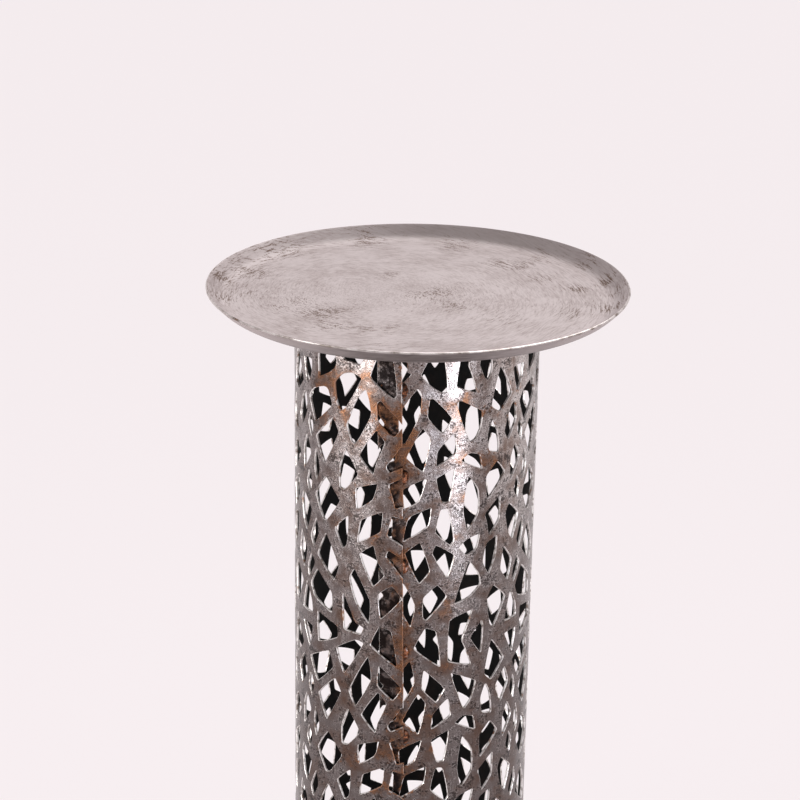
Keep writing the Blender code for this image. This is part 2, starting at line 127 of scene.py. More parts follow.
def clamped(share: float) -> float:
    """Limit a share to the range from 0 to 1."""
    return min(max(share, 0.0), 1.0)


def toward(heading: float, climb: float = 0.0) -> Vector:
    """Return a direction; heading 0 is in front of the stand, a right angle to its right."""
    level = math.cos(climb)
    return Vector((math.sin(heading) * level, -math.cos(heading) * level, math.sin(climb)))


def outward(place: Vector) -> Vector:
    """Return the level direction from the stand's axis to a place."""
    return Vector((place.x, place.y, 0.0)).normalized()


def fade(away: float, reach: float) -> float:
    """Return how much is left of something at a distance from its middle."""
    return math.exp(-((away / reach) ** 2))


def spots_at(spots: Spots, x_mm: float, y_mm: float) -> float:
    """Return what spots give a place together.

    Args:
        spots: The spots, each fading from its middle outwards.
        x_mm: The place's first coordinate.
        y_mm: Its second coordinate.

    Returns:
        The sum of what reaches the place.
    """
    total = 0.0
    for middle_x, middle_y, reach, strength in spots:
        total += strength * fade(math.hypot(x_mm - middle_x, y_mm - middle_y), reach)
    return total


def of_kind(geometry: list[Any], kind: type) -> list[Any]:
    """Return only the points, edges or faces of what an operator made."""
    return [item for item in geometry if isinstance(item, kind)]


def area_of(outline: list[Vector]) -> float:
    """Return an outline's signed area."""
    return 0.5 * sum(here.cross(after) for here, after in zip(outline, outline[1:] + outline[:1]))


def put_in_scene(name: str, data: bpy.types.ID, matrix: Matrix) -> bpy.types.Object:
    """Put a mesh, lamp or camera into the scene.

    Args:
        name: Name of the new object.
        data: What the object shows.
        matrix: Where it stands and how it is turned.

    Returns:
        The object in the scene.
    """
    item = bpy.data.objects.new(name, data)
    item.matrix_world = matrix
    bpy.context.scene.collection.objects.link(item)
    return item


def add_piece(name: str, shape: BMesh, materials: list[Material]) -> bpy.types.Object:
    """Turn a finished shape into a smooth-shaded object at the origin, and free the shape.

    Args:
        name: Name of the new piece.
        shape: Its finished mesh.
        materials: Its materials, in the order of its faces' material slots.

    Returns:
        The piece.
    """
    mesh = bpy.data.meshes.new(name)
    shape.to_mesh(mesh)
    shape.free()
    mesh.shade_smooth()
    mesh.set_sharp_from_angle(angle=SHARP_ANGLE)
    for material in materials:
        mesh.materials.append(material)
    return put_in_scene(name, mesh, Matrix.Identity(4))


def install(piece: bpy.types.Object, slot: Slot, *nodes: str) -> None:
    """Let a piece ride on the body in place of its solids.

    Args:
        piece: A finished piece.
        slot: The record's slot for what it is made of; not used.
        *nodes: The solids that it takes the place of, if any.
    """
    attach(piece, BODY)
    if nodes:
        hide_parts(*nodes)
    LOG.info("%s: %d polygons", piece.name, len(piece.data.polygons))


def solid_shape(node: str) -> BMesh:
    """Return a copy of a solid's mesh, its loose triangles joined.

    Args:
        node: Name of the solid.

    Returns:
        A new mesh in the shared frame.
    """
    shape = bmesh.new()
    shape.from_mesh(bpy.data.objects[node].data)
    bmesh.ops.remove_doubles(shape, verts=shape.verts, dist=WELD)
    return shape


def turned(section: list[tuple[float, float]], middle: Vector, steps: int) -> BMesh:
    """Turn a section, given as radius and level, round the upright line through a place.

    Args:
        section: Its points, from the line and back to it.
        middle: A place on the line.
        steps: Number of steps in the full turn.

    Returns:
        The closed shape, its faces turned outwards.
    """
    shape = bmesh.new()
    verts = [shape.verts.new((middle.x + reach, middle.y, level)) for reach, level in section]
    edges = [shape.edges.new(pair) for pair in zip(verts, verts[1:])]
    bmesh.ops.spin(
        shape,
        geom=[*verts, *edges],
        cent=(middle.x, middle.y, 0.0),
        axis=(0.0, 0.0, 1.0),
        angle=math.tau,
        steps=steps,
        use_merge=True,
    )
    bmesh.ops.remove_doubles(shape, verts=shape.verts, dist=WELD)
    bmesh.ops.recalc_face_normals(shape, faces=shape.faces)
    return shape


def mark(shape: BMesh, shares: dict[str, Callable[[Vector], float]]) -> None:
    """Store one attribute for the finishes under each name, worked out from each point's place.

    Args:
        shape: The mesh to mark.
        shares: For each attribute's name, what gives a place its share.
    """
    for name, share_at in shares.items():
        layer = shape.verts.layers.float.new(name)
        for vert in shape.verts:
            vert[layer] = share_at(vert.co)


# Finishes

# Kinds of node and settings that several finishes share.
ATTRIBUTE = "ShaderNodeAttribute"
BUMP = "ShaderNodeBump"
COORDINATES = "ShaderNodeTexCoord"
MATH = "ShaderNodeMath"
NOISE = "ShaderNodeTexNoise"
RANGE = "ShaderNodeMapRange"
VECTOR_MATH = "ShaderNodeVectorMath"
EASED = {"interpolation_type": "SMOOTHSTEP"}
SUM = {"operation": "MULTIPLY_ADD"}


def add_node(
    tree: bpy.types.NodeTree,
    kind: str,
    inputs: dict[str | int, Any] | None = None,
    output: str | int = 0,
    **settings: Any,
) -> Socket | None:
    """Add a node with its settings, values and links, and return one of its outputs.

    Args:
        tree: The node tree to add to.
        kind: The node's type name.
        inputs: Values or sockets for the node's inputs, by name or index.
        output: Name or index of the output that is wanted.
        **settings: The node's own properties.

    Returns:
        The wanted output, or nothing where the node has none.
    """
    node = tree.nodes.new(kind)
    for name, value in settings.items():
        setattr(node, name, value)
    for key, value in (inputs or {}).items():
        if isinstance(value, Socket):
            tree.links.new(value, node.inputs[key])
        else:
            node.inputs[key].default_value = value
    return node.outputs[output] if len(node.outputs) else None


def emptied(owner: Material | bpy.types.World) -> Add:
    """Empty a material's or a world's node tree and return add_node for that tree.

    Args:
        owner: The material or world.

    Returns:
        The function that adds a node to the tree.
    """
    owner.use_nodes = True
    owner.node_tree.nodes.clear()
    return partial(add_node, owner.node_tree)


class Pattern(NamedTuple):
    """A noise: the real size of its features, and how fine and rough it is within them."""

    size_mm: float
    detail: float = 4.0
    roughness: float = 0.5

    def at(self, place: Socket) -> dict[str, Any]:
        """Return a Noise Texture node's inputs at a place."""
        scale = per_mm(self.size_mm)
        return {"Vector": place, "Scale": scale, "Detail": self.detail, "Roughness": self.roughness}


class Band(NamedTuple):
    """The values of a pattern between which a share goes from its first to its last amount."""

    start: float
    end: float
    first: float | Socket = 0.0
    last: float | Socket = 1.0

    def of(self, pattern: Socket) -> dict[str, Any]:
        """Return a Map Range node's inputs for a pattern."""
        return {"Value": pattern, **dict(zip(("From Min", "From Max", "To Min", "To Max"), self))}


def coat(
    add: Add, under: Socket | str, over: Socket | str, pattern: Socket, band: Band, **settings: Any
) -> Socket:
    """Lay one colour over another, in the share that a band makes of a pattern.

    Args:
        add: Adds a node to the tree.
        under: The colour below.
        over: The colour on top.
        pattern: What decides where the upper colour lies.
        band: The pattern's values between which the upper colour comes in.
        **settings: How it comes in, where that isn't evenly.

    Returns:
        The mixed colour.
    """
    share = add(RANGE, band.of(pattern), **settings)
    under, over = (linear(colour) if isinstance(colour, str) else colour for colour in (under, over))
    return add("ShaderNodeMix", {0: share, 6: under, 7: over}, output=2, data_type="RGBA")


class Finish(ABC):
    """A material. Each kind says what goes into its surface shader, and what the eye sees."""

    name: str
    metallic = 0.0
    roughness = 0.5

    @abstractmethod
    def inputs(self, add: Add) -> dict[str, Any]:
        """Add the finish's patterns and return what they give the surface shader.

        Args:
            add: Adds a node to the tree.

        Returns:
            Values or sockets, by the names of the shader's inputs.
        """

    def surface(self, add: Add) -> Socket:
        """Add the surface shader.

        Args:
            add: Adds a node to the tree.

        Returns:
            The shader.
        """
        shine = {"Metallic": self.metallic, "Roughness": self.roughness}
        return add("ShaderNodeBsdfPrincipled", {**shine, **self.inputs(add)})

    def build(self) -> Material:
        """Make the material.

        Returns:
            The material.
        """
        material = bpy.data.materials.new(self.name)
        add = emptied(material)
        add("ShaderNodeOutputMaterial", {"Surface": self.surface(add)})
        return material


class SatinSilverPaint(Finish):
    """Satin silver enamel on spun steel, dry-brushed in rough rings, with umber scuffs.

    The eye sees a pale warm grey with swirling brush marks, and patches of short
    umber scratches where the brush skipped or the paint wore through.
    """

    name = "satin_silver_paint"
    pale = "#c4b9b8"
    warm = "#a99c9a"
    # Painted shade: the colour that the flared edge darkens towards, most at the back right.
    painted_shade_colour = "#7f7674"
    umber = "#5b4231"
    metallic = 0.22
    roughness = 0.52
    warp = Pattern(60.0, 1.0)
    warp_reach_mm = 5.0
    stroke_length_mm = 6.0
    stroke_width_mm = 0.75
    mean_radius_mm = 70.0
    swirl_centres_mm = ((-40.0, -10.0, 0.0), (-12.0, 8.0, 0.0))
    clouds = Pattern(26.0, 4.0, 0.62)
    grit = Pattern(0.9, 2.0)
    pale_band = Band(1.80, 1.42)
    painted_shade_band = Band(0.0, 1.0, 0.0, 0.8)
    scuff_band = Band(0.88, 0.96)
    scuff_depth = Band(0.0, 1.0, 0.5, 0.92)

    def inputs(self, add: Add) -> dict[str, Any]:
        """Return brushed paint under painted shade and scuffs, with the strokes in low relief.

        Args:
            add: Adds a node to the tree.

        Returns:
            Values or sockets, by the names of the shader's inputs.
        """
        place = add(COORDINATES, output="Object")
        worn, painted_shade = (
            add(ATTRIBUTE, output="Fac", attribute_name=name) for name in (DishShape.WORN, DishShape.PAINTED_SHADE)
        )
        brushed = {"Scale": 1.0, "Detail": 3.0, "Roughness": 0.6}
        first, second = (
            add(NOISE, {"Vector": self.ring_space(add, place, centre), **brushed})
            for centre in self.swirl_centres_mm
        )
        strokes = add(MATH, {0: first, 1: second}, operation="MAXIMUM")
        clouds, grit = (add(NOISE, pattern.at(place)) for pattern in (self.clouds, self.grit))
        tone = add(MATH, {0: strokes, 1: 2.0, 2: clouds}, **SUM)
        paint = coat(add, self.warm, self.pale, tone, self.pale_band)
        # Painted shade up the flared edge, most at the back right.
        paint = coat(add, paint, self.painted_shade_colour, painted_shade, self.painted_shade_band)
        scuffs: Socket | float = 0.0
        for source, weight in ((strokes, 0.95), (grit, 0.35), (clouds, 0.15), (worn, 0.145)):
            scuffs = add(MATH, {0: source, 1: weight, 2: scuffs}, **SUM)
        depth = add(RANGE, self.scuff_depth.of(worn))
        paint = coat(add, paint, self.umber, scuffs, self.scuff_band._replace(last=depth), **EASED)
        height = add(MATH, {0: strokes, 1: grit}, operation="ADD")
        return {
            "Base Color": paint,
            "Normal": add(BUMP, {"Height": height, "Strength": 0.25, "Distance": 0.0002}),
        }

    def ring_space(self, add: Add, place: Socket, centre_mm: tuple[float, float, float]) -> Socket:
        """Return coordinates in which a noise is drawn out into strokes round a centre.

        The place is first pushed about, so that the strokes swirl unevenly as a
        hand-held brush leaves them.

        Args:
            add: Adds a node to the tree.
            place: Coordinates on the dish.
            centre_mm: The place that the strokes run round.

        Returns:
            Coordinates for the noise.
        """
        push = add(NOISE, self.warp.at(place), output="Color")
        push = add(VECTOR_MATH, {0: push, 1: (0.5,) * 3}, operation="SUBTRACT")
        reach = (2.0 * self.warp_reach_mm * MM,) * 3
        pushed = add(VECTOR_MATH, {0: push, 1: reach, 2: place}, **SUM)
        from_centre = tuple(-value * MM for value in centre_mm)
        flat = add(VECTOR_MATH, {0: pushed, 1: (1.0, 1.0, 0.0), 2: from_centre}, **SUM)
        distance = add(VECTOR_MATH, {0: flat}, output="Value", operation="LENGTH")
        heading = add(VECTOR_MATH, {0: flat}, operation="NORMALIZE")
        strokes_round = self.mean_radius_mm / self.stroke_length_mm
        around = add(VECTOR_MATH, {0: heading, 3: strokes_round}, operation="SCALE")
        across = add(MATH, {0: distance, 1: per_mm(self.stroke_width_mm)}, operation="MULTIPLY")
        upright = add("ShaderNodeCombineXYZ", {"Z": across})
        return add(VECTOR_MATH, {0: around, 1: upright}, operation="ADD")


class GreyPaintWithPaintedLight(Finish):
    """The same enamel where no brush reached: the dish's outside, smooth and greyer; the grey is partly
    painted shade for the shadowed floor that it reflects.

    The eye sees a smooth grey flank in front that grows paler round both sides, a painted reflection of the
    brighter surroundings there.
    """

    name = "grey_paint_with_painted_light"
    # Partly painted shade: both tones are darker than the enamel and stand for the shadowed floor that the
    # flank reflects.
    light = "#7a716f"
    dark = "#5a5250"
    # Painted reflection: the colour that both sides of the flank pale towards.
    pale = "#a09593"
    metallic = 0.6
    roughness = 0.45
    streaks = Pattern(11.0, 6.0, 0.6)
    flattening = 12.0
    dark_band = Band(0.38, 0.66)
    pale_band = Band(0.0, 1.0)

    def inputs(self, add: Add) -> dict[str, Any]:
        """Return faint level streaks, under the painted reflection that pales both sides.

        Args:
            add: Adds a node to the tree.

        Returns:
            Values or sockets, by the names of the shader's inputs.
        """
        place = add(COORDINATES, output="Object")
        flattened = add(VECTOR_MATH, {0: place, 1: (1.0, 1.0, self.flattening)}, operation="MULTIPLY")
        streaks = add(NOISE, self.streaks.at(flattened))
        painted_reflection = add(ATTRIBUTE, output="Fac", attribute_name=DishShape.PAINTED_REFLECTION)
        paint = coat(add, self.light, self.dark, streaks, self.dark_band)
        return {"Base Color": coat(add, paint, self.pale, painted_reflection, self.pale_band)}


class AntiqueSilverPatina(Finish):
    """Silver paint rubbed thinly over blackened steel, with copper bloom by the brazing.

    The eye sees silver grain over dark steel, brown clouds, dark flecks, copper
    stains where the sheet was heated, and soot on the end that lies under the lap.
    """

    name = "antique_silver_patina"
    silver = "#bab2b0"
    pewter = "#635b59"
    umber = "#553f33"
    dark = "#231b19"
    copper = "#b27a50"
    rust = "#54392b"
    soot = "#140e0d"
    metallic = 0.95
    grain = Pattern(0.55, roughness=0.65)
    mottle = Pattern(8.0, roughness=0.65)
    clouds = Pattern(17.0, roughness=0.65)
    flecks = Pattern(1.2, roughness=0.65)
    bloom = Pattern(5.0, roughness=0.65)
    streak_length_mm = 6.0
    streak_width_mm = 0.8
    # Less silver further down the sheet, so it is darker towards the bottom.
    darker_toward_bottom = Band(30.0 * MM, 240.0 * MM, 0.0, -0.07)
    silver_band = Band(0.455, 0.595)
    umber_band = Band(0.44, 0.66, 0.0, 0.8)
    dark_band = Band(0.98, 1.08, 0.0, 0.88)
    bare_band = Band(0.48, 0.62, 1.0, 0.3)
    stain_band = Band(0.84, 1.06)
    stain_depth = Band(0.0, 1.0, 0.42, 0.95)
    copper_band = Band(0.44, 0.66)
    roughness_band = Band(0.45, 0.7, 0.23, 0.36)
    grain_height = 0.00006

    def inputs(self, add: Add) -> dict[str, Any]:
        """Return rubbed silver under umber clouds, dark flecks, soot and copper stains.

        Args:
            add: Adds a node to the tree.

        Returns:
            Values or sockets, by the names of the shader's inputs.
        """
        place = add(ATTRIBUTE, output="Vector", attribute_name=OpenworkSheet.PLACE)
        heat, sooty, rim = (
            add(ATTRIBUTE, output="Fac", attribute_name=name)
            for name in (OpenworkSheet.HEAT, OpenworkSheet.SOOT, OpenworkSheet.RIM)
        )
        grain, mottle, clouds, flecks, bloom = (
            add(NOISE, pattern.at(place))
            for pattern in (self.grain, self.mottle, self.clouds, self.flecks, self.bloom)
        )
        warmth = add(MATH, {0: heat, 1: 0.14, 2: clouds}, **SUM)
        darkness = add(MATH, {0: flecks, 1: 0.9, 2: mottle}, **SUM)
        hot = bloom
        for source, weight in ((heat, 0.27), (flecks, 0.35), (rim, 0.09)):
            hot = add(MATH, {0: source, 1: weight, 2: hot}, **SUM)
        rubbed = self.rubbed(add, place, grain, mottle)
        soot_band = Band(0.0, 1.0, 0.0, add(RANGE, self.bare_band.of(bloom)))
        stain_band = self.stain_band._replace(last=add(RANGE, self.stain_depth.of(rim)))
        copper = coat(add, self.rust, self.copper, grain, self.copper_band)
        metal = coat(add, self.pewter, self.silver, rubbed, self.silver_band)
        metal = coat(add, metal, self.umber, warmth, self.umber_band)
        metal = coat(add, metal, self.dark, darkness, self.dark_band, **EASED)
        metal = coat(add, metal, self.soot, sooty, soot_band)
        metal = coat(add, metal, copper, hot, stain_band, **EASED)
        height = add(MATH, {0: mottle, 1: 6.0, 2: grain}, **SUM)
        return {
            "Base Color": metal,
            "Roughness": add(RANGE, self.roughness_band.of(mottle)),
            "Normal": add(BUMP, {"Height": height, "Strength": 0.5, "Distance": self.grain_height}),
        }

    def rubbed(self, add: Add, place: Socket, grain: Socket, mottle: Socket) -> Socket:
        """Return how much silver stayed: grain, brush marks and clouds, less further down.

        Args:
            add: Adds a node to the tree.
            place: Coordinates on the flat sheet.
            grain: The fine grain.
            mottle: The coarser mottle.

        Returns:
            The amount of silver, to be read through its band.
        """
        stretch = (per_mm(self.streak_width_mm), per_mm(self.streak_length_mm), 1.0)
        drawn_out = add(VECTOR_MATH, {0: place, 1: stretch}, operation="MULTIPLY")
        brushed = {"Scale": 1.0, "Detail": 4.0, "Roughness": 0.65, "Distortion": 0.8}
        streaks = add(NOISE, {"Vector": drawn_out, **brushed})
        down = add("ShaderNodeSeparateXYZ", {0: place}, output="Y")
        total = add(RANGE, self.darker_toward_bottom.of(down))
        for source, weight in ((streaks, 0.2), (mottle, 0.35), (grain, 0.5)):
            total = add(MATH, {0: source, 1: weight, 2: total}, **SUM)
        return total


class BrightCutEdge(Finish):
    """Cut edge of the sheet, where the silver paint gathered and the wash ran off.

    The eye sees a thin bright line round each hole, dull and copper in places.
    """

    name = "bright_cut_edge"
    bright = "#efeae7"
    dull = "#90867f"
    copper = "#9c6a48"
    metallic = 0.7
    roughness = 0.38
    patches = Pattern(3.0, 3.0)
    dull_band = Band(0.48, 0.64)
    copper_band = Band(0.66, 0.8, 0.0, 0.9)

    def inputs(self, add: Add) -> dict[str, Any]:
        """Return bright metal with dull patches, and copper where it was heated.

        Args:
            add: Adds a node to the tree.

        Returns:
            Values or sockets, by the names of the shader's inputs.
        """
        patches = add(NOISE, self.patches.at(add(COORDINATES, output="Object")))
        heat = add(ATTRIBUTE, output="Fac", attribute_name=OpenworkSheet.HEAT)
        hot = add(MATH, {0: heat, 1: 0.42, 2: patches}, **SUM)
        metal = coat(add, self.bright, self.dull, patches, self.dull_band)
        return {"Base Color": coat(add, metal, self.copper, hot, self.copper_band)}


class RolledRim(BrightCutEdge):
    """The cut edge of the dish, in the same paint.

    The eye sees a glossier line with long dull stretches.
    """

    name = "rolled_rim"
    bright = "#dfd7d4"
    dull = "#857870"
    roughness = 0.27
    patches = Pattern(9.0, 3.0)
    dull_band = Band(0.45, 0.66)


class BlackenedSteel(Finish):
    """Black primer on the steel inside the column.

    The eye sees near black with a little brown, almost without shine.
    """

    name = "blackened_steel"
    black = "#0a0808"
    umber = "#1f1511"
    roughness = 0.7
    clouds = Pattern(9.0)
    umber_band = Band(0.55, 0.75)

    def inputs(self, add: Add) -> dict[str, Any]:
        """Return black with umber clouds.

        Args:
            add: Adds a node to the tree.

        Returns:
            Values or sockets, by the names of the shader's inputs.
        """
        clouds = add(NOISE, self.clouds.at(add(COORDINATES, output="Object")))
        colour = coat(add, self.black, self.umber, clouds, self.umber_band)
        return {"Base Color": colour, "Specular IOR Level": 0.2}


class CopperBraze(Finish):
    """Copper brazing metal, frozen rough.

    The eye sees copper lumps stained brown by heat, with silvery spots.
    """

    name = "copper_braze"
    copper = "#8a5232"
    burnt = "#2e1d16"
    silver = "#8d8380"
    metallic = 0.85
    roughness = 0.42
    patches = Pattern(2.2, roughness=0.65)
    burnt_band = Band(0.42, 0.56)
    silver_band = Band(0.36, 0.44, 0.8, 0.0)

    def inputs(self, add: Add) -> dict[str, Any]:
        """Return copper, burnt in patches and silvered between them.

        Args:
            add: Adds a node to the tree.

        Returns:
            Values or sockets, by the names of the shader's inputs.
        """
        patches = add(NOISE, self.patches.at(add(COORDINATES, output="Object")))
        metal = coat(add, self.copper, self.burnt, patches, self.burnt_band)
        return {
            "Base Color": coat(add, metal, self.silver, patches, self.silver_band),
            "Normal": add(BUMP, {"Height": patches, "Strength": 0.6, "Distance": 0.0004}),
        }


class BlackRubber(Finish):
    """Moulded black rubber.

    The eye sees matt black, faintly dusty.
    """

    name = "black_rubber"
    black = "#141414"
    dusty = "#2b2a29"
    roughness = 0.85
    dust = Pattern(2.5, 5.0)
    dust_band = Band(0.4, 0.7)

    def inputs(self, add: Add) -> dict[str, Any]:
        """Return black with patches of dust."""
        dust = add(NOISE, self.dust.at(add(COORDINATES, output="Object")))
        return {"Base Color": coat(add, self.black, self.dusty, dust, self.dust_band)}


class PalePaper(Finish):
    """Matt pale paper for the floor, which keeps the stand's shadow.

    The eye sees an evenly pale sweep, because a part of it shines by itself.
    """

    name = "pale_paper"
    pale = "#f6eef0"
    roughness = 0.9
    glow_share = 0.85

    def inputs(self, add: Add) -> dict[str, Any]:
        """Return plain paper."""
        return {"Base Color": linear(self.pale), "Specular IOR Level": 0.1}

    def surface(self, add: Add) -> Socket:
        """Add the paper, mixed with a glow that is seen but doesn't light the stand.

        Args:
            add: Adds a node to the tree.

        Returns:
            The mixed shader.
        """
        paper = super().surface(add)
        glow = add("ShaderNodeEmission", {"Color": linear(self.pale), "Strength": 1.0})
        rays = add("ShaderNodeLightPath").node.outputs
        seen = rays["Is Camera Ray"]
        for ray in ("Is Glossy Ray", "Is Transmission Ray"):
            seen = add(MATH, {0: seen, 1: rays[ray]}, operation="MAXIMUM")
        share = add(MATH, {0: seen, 1: self.glow_share}, operation="MULTIPLY")
        return add("ShaderNodeMixShader", {0: share, 1: paper, 2: glow})


# Dish and foot

# Worn places on a dish: right of its centre, behind it and reach in millimetres, and strength.
DISH_WEAR = (
    (-97, 37, 13, 1.1), (-90, 68, 13, 0.9), (-74, 80, 10, 0.8), (-115, 18, 9, 1.1),
    (-111, -14, 9, 1.0), (-112, 52, 7, 0.7), (-98, -1, 12, 0.5), (-78, -25, 7, 0.7),
    (-64, -12, 10, 0.8), (-56, -33, 12, 1.1), (-47, -56, 10, 1.0), (-30, -58, 8, 0.8),
    (-14, -58, 8, 0.7), (-36, -28, 12, 0.5), (-16, 38, 8, 0.7), (12, 8, 10, 0.8),
    (2, -3, 10, 0.6), (21, -18, 9, 0.8), (45, 66, 10, 0.8), (60, 60, 11, 1.0),
    (73, 37, 9, 0.8), (91, 18, 8, 1.2), (109, 28, 6, 1.5), (100, 56, 8, 0.8),
    (108, -18, 9, 1.3), (115, 6, 7, 1.0), (85, -27, 12, 0.6), (47, -38, 14, 0.5),
    (-32, 101, 12, 1.0), (23, 99, 12, 0.9), (73, 76, 9, 0.7), (-19, -85, 14, 0.5),
)  # fmt: skip
FOOT_WEAR = ((-80, -70, 24, 0.9), (96, -40, 22, 0.8), (20, 100, 30, 0.8), (-100, 40, 24, 0.7))


@dataclass
class DishShape:
    """A spun dish with a flared edge, turned finely over its solid's box."""

    WORN = "dish_worn"
    PAINTED_SHADE = "dish_painted_shade"
    PAINTED_REFLECTION = "dish_painted_reflection"

    node: str
    wear: Spots
    turned_over: bool = False
    thickness: float = 0.0015
    bend_radius: float = 0.012
    flare: float = math.radians(45.0)
    edge_break: float = 0.0005
    round_middle: float = 0.3
    rim_reach: float = 0.002
    edge_facing: float = 0.5
    floor_step: float = 0.004
    bend_steps: int = 10
    wall_steps: int = 5
    around: int = 224
    rim_waver: float = 0.00016
    waver_turns: float = 2.6
    waver_sink: float = 0.4
    full_climb: float = 0.25
    # Painted shade: its least share all round, how fast it falls off, and the side where it is darkest.
    least_painted_shade: float = 0.15
    shade_falloff: float = 1.5
    shade_heading: float = math.radians(20.0)
    # Painted reflection: none near the front, full from pale_sides round to the back.
    grey_front: float = math.radians(12.0)
    pale_sides: float = math.radians(46.0)

    def __post_init__(self) -> None:
        """Read the dish's reach and height from its solid."""
        low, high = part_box(self.node)
        self.radius = high.x
        self.depth = high.z - low.z - self.thickness
        self.base = high.z if self.turned_over else low.z
        self.up = -1.0 if self.turned_over else 1.0

    def height_of(self, place: Vector) -> float:
        """Return how far a place is from the floor's outer face, towards the rim."""
        return (place.z - self.base) * self.up

    def half_section(self) -> list[tuple[float, float]]:
        """Return radius and height from the floor's middle over the rim to the underside's middle.

        Returns:
            The section's points in the order in which it is drawn.
        """
        half = self.thickness / 2.0
        inner_bend = self.bend_radius - half
        outer_bend = self.bend_radius + half
        rise = half + self.depth - self.bend_radius + inner_bend * math.cos(self.flare)
        slant = rise / math.sin(self.flare)
        floor = self.radius - outer_bend * math.sin(self.flare) - slant * math.cos(self.flare)
        centre = half + self.bend_radius
        way_out = Vector((math.cos(self.flare), math.sin(self.flare)))
        way_up = Vector((-math.sin(self.flare), math.cos(self.flare)))

        def skin(bend: float, way_over_edge: Vector) -> list[Vector]:
            """Return one side: the floor, the bend, the straight flare and half of the edge.

            Args:
                bend: The side's bend radius.
                way_over_edge: The way from the edge's corner to its middle.

            Returns:
                The side's points, from the middle out.
            """
            rings = math.ceil(floor / self.floor_step)
            points = [Vector((floor * step / rings, centre - bend)) for step in range(rings)]
            for step in range(self.bend_steps + 1):
                turn = self.flare * step / self.bend_steps
                points.append(Vector((floor, centre)) + Vector((math.sin(turn), -math.cos(turn))) * bend)
            foot = points[-1]
            straight = slant - self.edge_break
            for step in range(1, self.wall_steps + 1):
                points.append(foot + way_out * (straight * step / self.wall_steps))
            corner = foot + way_out * slant
            points.append(corner + (way_over_edge - way_out) * self.edge_break * self.round_middle)
            points.append(corner + way_over_edge * self.edge_break)
            return points

        inside = skin(inner_bend, -way_up)
        outside = skin(outer_bend, way_up)
        return [tuple(point) for point in inside + outside[::-1]]

    def build(self, brushed: Material, plain: Material, edge: Material) -> None:
        """Turn the section in the solid's place, brushed on the side that faces up, and give it wear, painted
        shade and painted reflection.

        Args:
            brushed: Finish of the side that faces up.
            plain: Finish of the other side.
            edge: Finish of the rim's cut edge.
        """
        section = [(reach, self.base + self.up * height) for reach, height in self.half_section()]
        shape = turned(section, Vector(), self.around)
        self.tell_sides(shape)
        self.waver(shape)
        mark(shape, {self.WORN: self.wear_at, self.PAINTED_SHADE: self.painted_shade_at, self.PAINTED_REFLECTION: self.painted_reflection_at})
        finishes = [plain, brushed] if self.turned_over else [brushed, plain]
        piece = add_piece(f"{self.node}_spun", shape, [*finishes, edge])
        install(piece, Slot.SILVER_PAINT, self.node)

    def climbed(self, place: Vector) -> float:
        """Return how far a place is up the flared edge, 1 from a quarter of it upwards."""
        return clamped((self.height_of(place) - self.thickness) / (self.full_climb * self.depth))

    def wear_at(self, place: Vector) -> float:
        """Return how worn a place is."""
        return clamped(spots_at(self.wear, place.x / MM, place.y / MM))

    def painted_reflection_at(self, place: Vector) -> float:
        """Return how much painted reflection pales a place up the flared edge: none in front, full round both
        sides.

        Args:
            place: A point of the dish.

        Returns:
            A share from 0 to 1.
        """
        off_front = abs(math.atan2(place.x, -place.y))
        share = (off_front - self.grey_front) / (self.pale_sides - self.grey_front)
        return self.climbed(place) * clamped(share)

    def painted_shade_at(self, place: Vector) -> float:
        """Return how much painted shade lies on a place: more up the flared edge, most at the back right,
        where the dish's wall is in shade.

        Args:
            place: A point of the dish.

        Returns:
            A share from 0 to 1.
        """
        off_pool = math.remainder(math.atan2(place.x, place.y) - self.shade_heading, math.tau)
        pooled = max(0.0, math.cos(off_pool)) ** self.shade_falloff
        return self.climbed(place) * (self.least_painted_shade + (1.0 - self.least_painted_shade) * pooled)

    def tell_sides(self, shape: BMesh) -> None:
        """Give the hollow side, the other side and the rim's cut edge their material slots.

        Args:
            shape: The turned dish.
        """
        edge_rise = Vector((0.0, 0.0, self.up * math.sin(self.flare)))
        for face in shape.faces:
            centre = face.calc_center_median()
            edge_way = outward(centre) * math.cos(self.flare) + edge_rise
            near_rim = self.height_of(centre) > self.depth and centre.xy.length > self.radius - self.rim_reach
            if near_rim and face.normal.dot(edge_way) > self.edge_facing:
                face.material_index = 2
            else:
                face.material_index = 0 if face.normal.z * self.up > 0.0 else 1

    def waver(self, shape: BMesh) -> None:
        """Let the flared edge waver slightly, as a spun edge does.

        Args:
            shape: The turned dish.
        """
        draw = Vector((0.0, 0.0, self.base))
        for vert in shape.verts:
            share = max(0.0, (self.height_of(vert.co) - self.thickness) / self.depth)
            wave = noise.noise(outward(vert.co) * self.waver_turns + draw) - self.waver_sink
            vert.co.z += self.rim_waver * share * wave


# Openwork column

